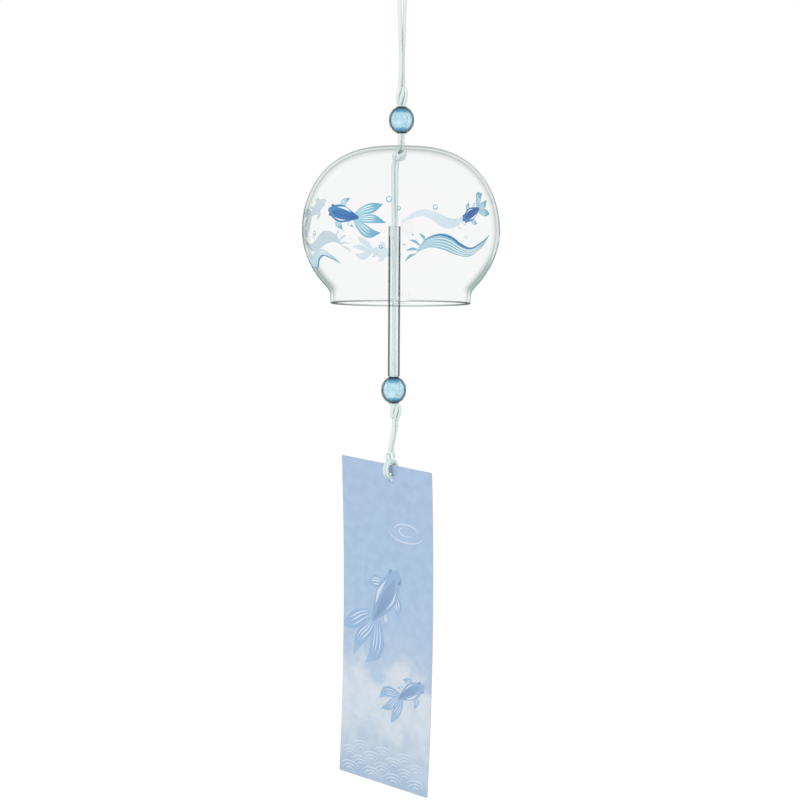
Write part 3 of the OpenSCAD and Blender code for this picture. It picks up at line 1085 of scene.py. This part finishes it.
# A goldfish from above, swimming to +x: each brush shape is a colour, a spine and the half
# width at points along it, in millimetres
TAIL = [
    ([(-2, 0.4), (-6, 3.4), (-11, 5.6), (-16.5, 4.4)], [0.7, 2.0, 2.4, 0]),
    ([(-2, 0), (-7, 0.1), (-12, -1.0), (-18, -0.4)], [0.7, 1.6, 1.9, 0]),
    ([(-2, -0.4), (-5.5, -3.4), (-10, -5.8), (-14.5, -8.6)], [0.7, 1.9, 2.3, 0]),
]
FINS = [
    ([(7, 2.4), (5.6, 4.9), (2.4, 7.2)], [0.5, 1.7, 0]),
    ([(7, -2.4), (5.8, -5.0), (3.0, -7.6)], [0.5, 1.7, 0]),
    ([(1, 2.0), (-0.6, 3.8), (-3.0, 4.6)], [0.4, 0.9, 0]),
]


def goldfish(light="pale"):
    marks = []
    for spine, widths in FINS + TAIL:
        marks.append(("teal", spine, widths))
        for share in (-0.45, 0.1, 0.55):
            marks.append((light, shifted(spine, widths, share)[1:7], [0, 0.16, 0.2, 0]))
    marks += [
        ("deep", [(-4.5, 0), (0, 0.2), (5, 0.3), (10, 0.1), (14.2, 0)], [0.5, 2.4, 3.9, 3.0, 0.5]),
        ("indigo", [(-3.4, 0.3), (1, 0.6), (6, 0.7), (11, 0.4)], [0.2, 1.2, 1.7, 0.3]),
        (light, [(0, -1.5), (4, -2.5), (9, -2.1)], [0, 0.55, 0]),
        (light, [(1.5, 2.3), (5, 3.1), (9, 2.6)], [0, 0.3, 0]),
        ("indigo", [(11.0, 2.1), (11.9, 2.3), (12.8, 1.9)], [0.25, 0.5, 0.2]),
        ("indigo", [(11.0, -2.1), (11.9, -2.3), (12.8, -1.9)], [0.25, 0.5, 0.2]),
    ]
    return marks


def stream():
    """A ribbon of running water with finer currents in it."""
    spine = [(0, 0), (6, 3.6), (13, 3.2), (20, -1.0), (27, -3.4), (34, -1.4), (41, 2.2)]
    widths = [0, 2.2, 3.4, 2.6, 1.9, 1.3, 0]
    marks = [("teal", spine, widths)]
    for share in (-0.72, -0.36, 0.0, 0.36):
        marks.append(("pale", shifted(spine, widths, share), [0, 0.2, 0.26, 0.2, 0]))
    marks.append(("deep", shifted(spine, widths, 0.82), [0, 0.25, 0.5, 0.22, 0]))
    for splash in (
        [(2.0, 0.9), (-1.2, 2.0), (-4.2, 1.6)], [(3.0, 1.9), (0.4, 4.8), (-2.2, 6.0)],
        [(5.0, 3.6), (4.0, 6.4), (2.4, 8.2)], [(1.0, -0.2), (-2.6, -0.9), (-5.0, -3.0)],
    ):
        marks.append(("teal", splash, [0, 0.62, 0]))
    for x, y in ((-4.6, 4.2), (-0.4, 7.8), (-6.6, 0.2)):
        marks.append(("teal", [(x - 0.4, y), (x, y + 0.1), (x + 0.4, y)], [0.1, 0.42, 0.1]))
    return marks


def bubble(radius):
    ring = [(radius * cos(a), radius * sin(a)) for a in (2 * pi * k / 12 for k in range(13))]
    return [("teal", ring, [0.22] * 3)]


# Motifs on the glass: place (mm round the belly, mm above it), turn, size and mirroring.
# The near half runs from -63 to 63, and the rest is seen through the glass from behind.
GLASS_GOLDFISH = [
    ((-21, 6.0), 168, 0.86, 1), ((34, 8), 205, 0.62, -1), ((61, -7), 96, 0.8, 1),
    ((137, -9), 188, 0.58, 1), ((172, 7), 150, 0.7, -1), ((-66, 2), 60, 0.62, -1),
]
GLASS_STREAMS = [
    ((6, -8.5), 8, 0.92, 1), ((-56, -10.5), -2, 0.7, -1), ((97, 6), -4, 0.72, -1),
    ((152, -7), 6, 0.8, 1),
]
GLASS_BUBBLES = [
    ((-5, 12.5), 1.1), ((-1, 9.0), 0.7), ((14, 9.5), 0.9), ((50, 12), 0.8), ((-41, -1), 0.8),
    ((-8, -6), 0.6), ((128, 11), 0.9), ((170, -3), 0.8), ((96, -3), 0.7),
]


def glass_prints():
    inks = {
        "deep": ink("fired_blue_enamel", ["#2C6CA6", "#3877AF", "#4F8ABB"]),
        "indigo": ink("fired_indigo_enamel", ["#45549A", "#35589A"]),
        "teal": ink("fired_teal_enamel", ["#A3CBD7", "#7DB4C8", "#62A1BC"]),
        "pale": ink("fired_white_blue_enamel", ["#D9E8EE", "#E6F0F4"]),
        "underlay": ink("white_enamel_underlay", ["#DDEBF3", "#E6F1F7"]),
    }
    marks = []
    for motif, places in ((stream(), GLASS_STREAMS), (goldfish(), GLASS_GOLDFISH)):
        for at, turn, scale, mirror in places:
            marks += set_down(motif, at, turn, scale, mirror)
    for at, radius in GLASS_BUBBLES:
        marks += set_down(bubble(radius), at, 0)
    printed("bell_print", marks, on_bell, inks, "bell", "bell_glass")


# ---- the card
def paper_strip(face_print, core):
    place = on_card(0)
    columns, rows = 52, 136

    def spot(u, v):
        return place((u - 0.5) * STRIP_W / MM, (1 - v) * STRIP_L / MM, 0)

    piece = grid("printed_card", columns, rows, spot, STRIP_W / MM, STRIP_L / MM)
    close_up(piece)
    piece.data.materials.append(face_print)
    piece.data.materials.append(core)
    apply(piece, "SOLIDIFY", thickness=STRIP_T, offset=0.0, material_offset_rim=1)
    deselect()
    bpy.ops.mesh.primitive_cylinder_add(vertices=64, radius=STRIP_HOLE_R, depth=20 * MM)
    punch = newest("punch")
    punch.data.materials.append(core)
    punch.data.transform(
        CARD_FRAME @ Matrix.Translation((0, 0, HOLE_Z)) @ Matrix.Rotation(pi / 2, 4, "X")
    )
    apply(piece, "BOOLEAN", operation="DIFFERENCE", object=punch, solver="EXACT")
    bpy.data.objects.remove(punch)
    smooth(piece, 30)
    dress(piece, None, "paper_strip", "card", "paper_strip")


# Motifs on the card: place (mm from its middle, mm below its top edge), turn, size, mirror
CARD_GOLDFISH = [((-5, 62), -58, 1.5, 1), ((11, 96), -30, 0.9, -1)]
RIPPLES = [(11, 27), (-11, 106)]
# Wave scales: their radius, and each row's height on the card and whether it is an odd one
SCALE_R = 6.5
SCALE_ROWS = [(134.5, 0), (131.2, 1), (127.9, 0), (124.6, 1)]


def ripple(at):
    """Broken rings of ripples, wider than they are high."""
    marks = []
    for radius, start, sweep in ((4, 20, 250), (7, 150, 220), (10, -10, 190)):
        arc = []
        for k in range(15):
            a = radians(start + sweep * k / 14)
            arc.append((at[0] + radius * cos(a), at[1] + 0.45 * radius * sin(a)))
        marks.append(("light", arc, [0, 0.22, 0.3, 0.22, 0]))
    return marks


def wave_scales():
    """Rows of overlapping wave scales along the foot of the card, each three arcs."""
    marks = []
    half = STRIP_W / MM / 2 - 0.4
    for foot, odd in SCALE_ROWS:
        count = 3 if odd else 4
        for i in range(count):
            middle = (i - (count - 1) / 2) * 2 * SCALE_R
            for radius in (SCALE_R, SCALE_R * 0.66, SCALE_R * 0.33):
                arc = []
                for k in range(13):
                    a = radians(30 + 10 * k if radius > 5 else 15 + 12.5 * k)
                    arc.append((middle + radius * cos(a), foot - radius * sin(a) * 0.62))
                marks.append(("light", [p for p in arc if abs(p[0]) < half], [0.1, 0.28, 0.1]))
    return marks


def card_prints():
    inks = {
        "deep": ink("card_blue_ink", ["#8CA8C6", "#93B0CF"], 0.5),
        "indigo": ink("card_slate_ink", ["#7C96B8", "#86A2C4"], 0.5),
        "teal": ink("card_sky_ink", ["#9DBBD8", "#8DAECF", "#9AB8D6"], 0.5),
        "light": ink("card_white_ink", ["#C3D4E7", "#CFDCEB"], 0.5),
        "underlay": ink("card_ink_underside", ["#A9BFD6", "#A9BFD6"], 0.5),
    }
    marks = []
    for at in RIPPLES:
        marks += ripple(at)
    for at, turn, scale, mirror in CARD_GOLDFISH:
        marks += set_down(goldfish(light="light"), at, turn, scale, mirror)
    marks += wave_scales()
    for side, face in (("front", -1), ("back", 1)):
        printed(f"card_{side}", marks, on_card(face), inks, "paper_strip", "card")


# ---- the whole bell
def build():
    set_camera()
    cord = braided_nylon()
    hanging_loop(cord)
    set_studio()
    neck_cord(cord)
    clapper_cord(cord)
    tail_cord(cord)
    knots(cord)
    glass_bell()
    clapper_tube()
    acrylic = clear_acrylic()
    hole_wall = drilled_acrylic()
    bead("upper_bead", TOP_BEAD_LOW, TOP_BEAD_HIGH, acrylic, hole_wall, "top_bead")
    bead("lower_bead", BOTTOM_BEAD_LOW, BOTTOM_BEAD_HIGH, acrylic, hole_wall, "bottom_bead")
    glass_prints()
    paper_strip(coated_card(), card_core())
    card_prints()


build()
